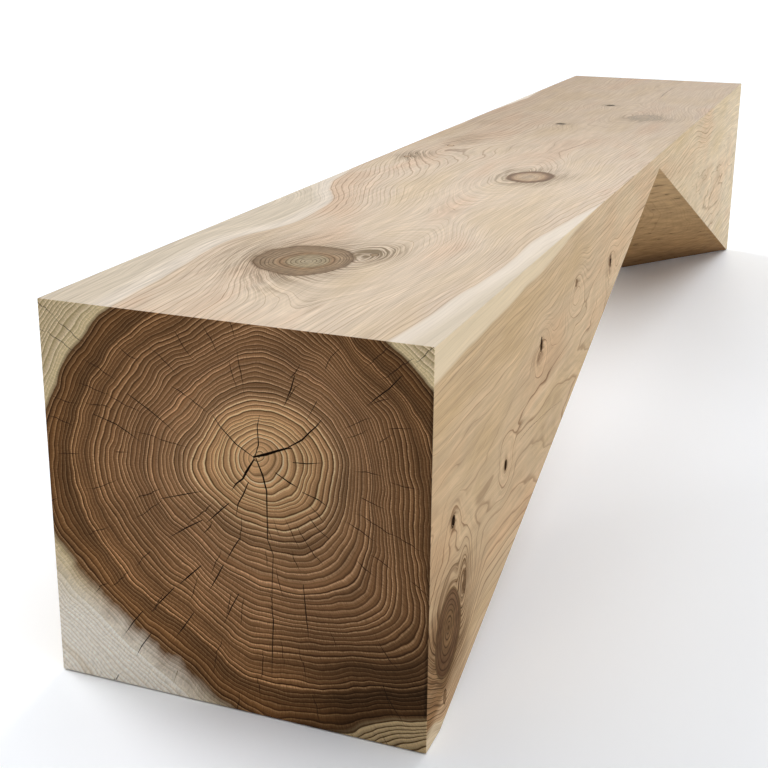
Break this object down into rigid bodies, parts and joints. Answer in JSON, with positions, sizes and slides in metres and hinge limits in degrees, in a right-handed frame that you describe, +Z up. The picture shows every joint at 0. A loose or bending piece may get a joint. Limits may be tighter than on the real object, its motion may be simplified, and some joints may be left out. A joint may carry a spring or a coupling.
{
  "type": "bench",
  "caption": "Long backless bench sawn from one squared cedar trunk, hollowed below by a faceted V cut that leaves a thin bridge, a keel and two pointed feet on felt glides.",
  "frame": {"origin": "on the floor, under the middle of the bench", "axes": "+X along the bench to its far end, -Y the front side with the V cut seen in the picture, +Z up"},
  "size_m": [2.4, 0.43, 0.431],
  "materials": {
    "cedar": "planed and sanded long grain, sawn and brushed end grain, thin clear oil",
    "glide_nylon": "moulded, matt",
    "wool_felt": "pressed wool felt",
    "zinc_steel": "bright zinc plate"
  },
  "bodies": {
    "root": {"timber_block": "cedar", "glide_cup_near_front": "glide_nylon", "glide_felt_near_front": "wool_felt", "glide_cup_near_back": "glide_nylon", "glide_felt_near_back": "wool_felt", "glide_cup_far_front": "glide_nylon", "glide_felt_far_front": "wool_felt", "glide_cup_far_back": "glide_nylon", "glide_felt_far_back": "wool_felt", "glide_screws": "zinc_steel"}
  },
  "joints": []
}
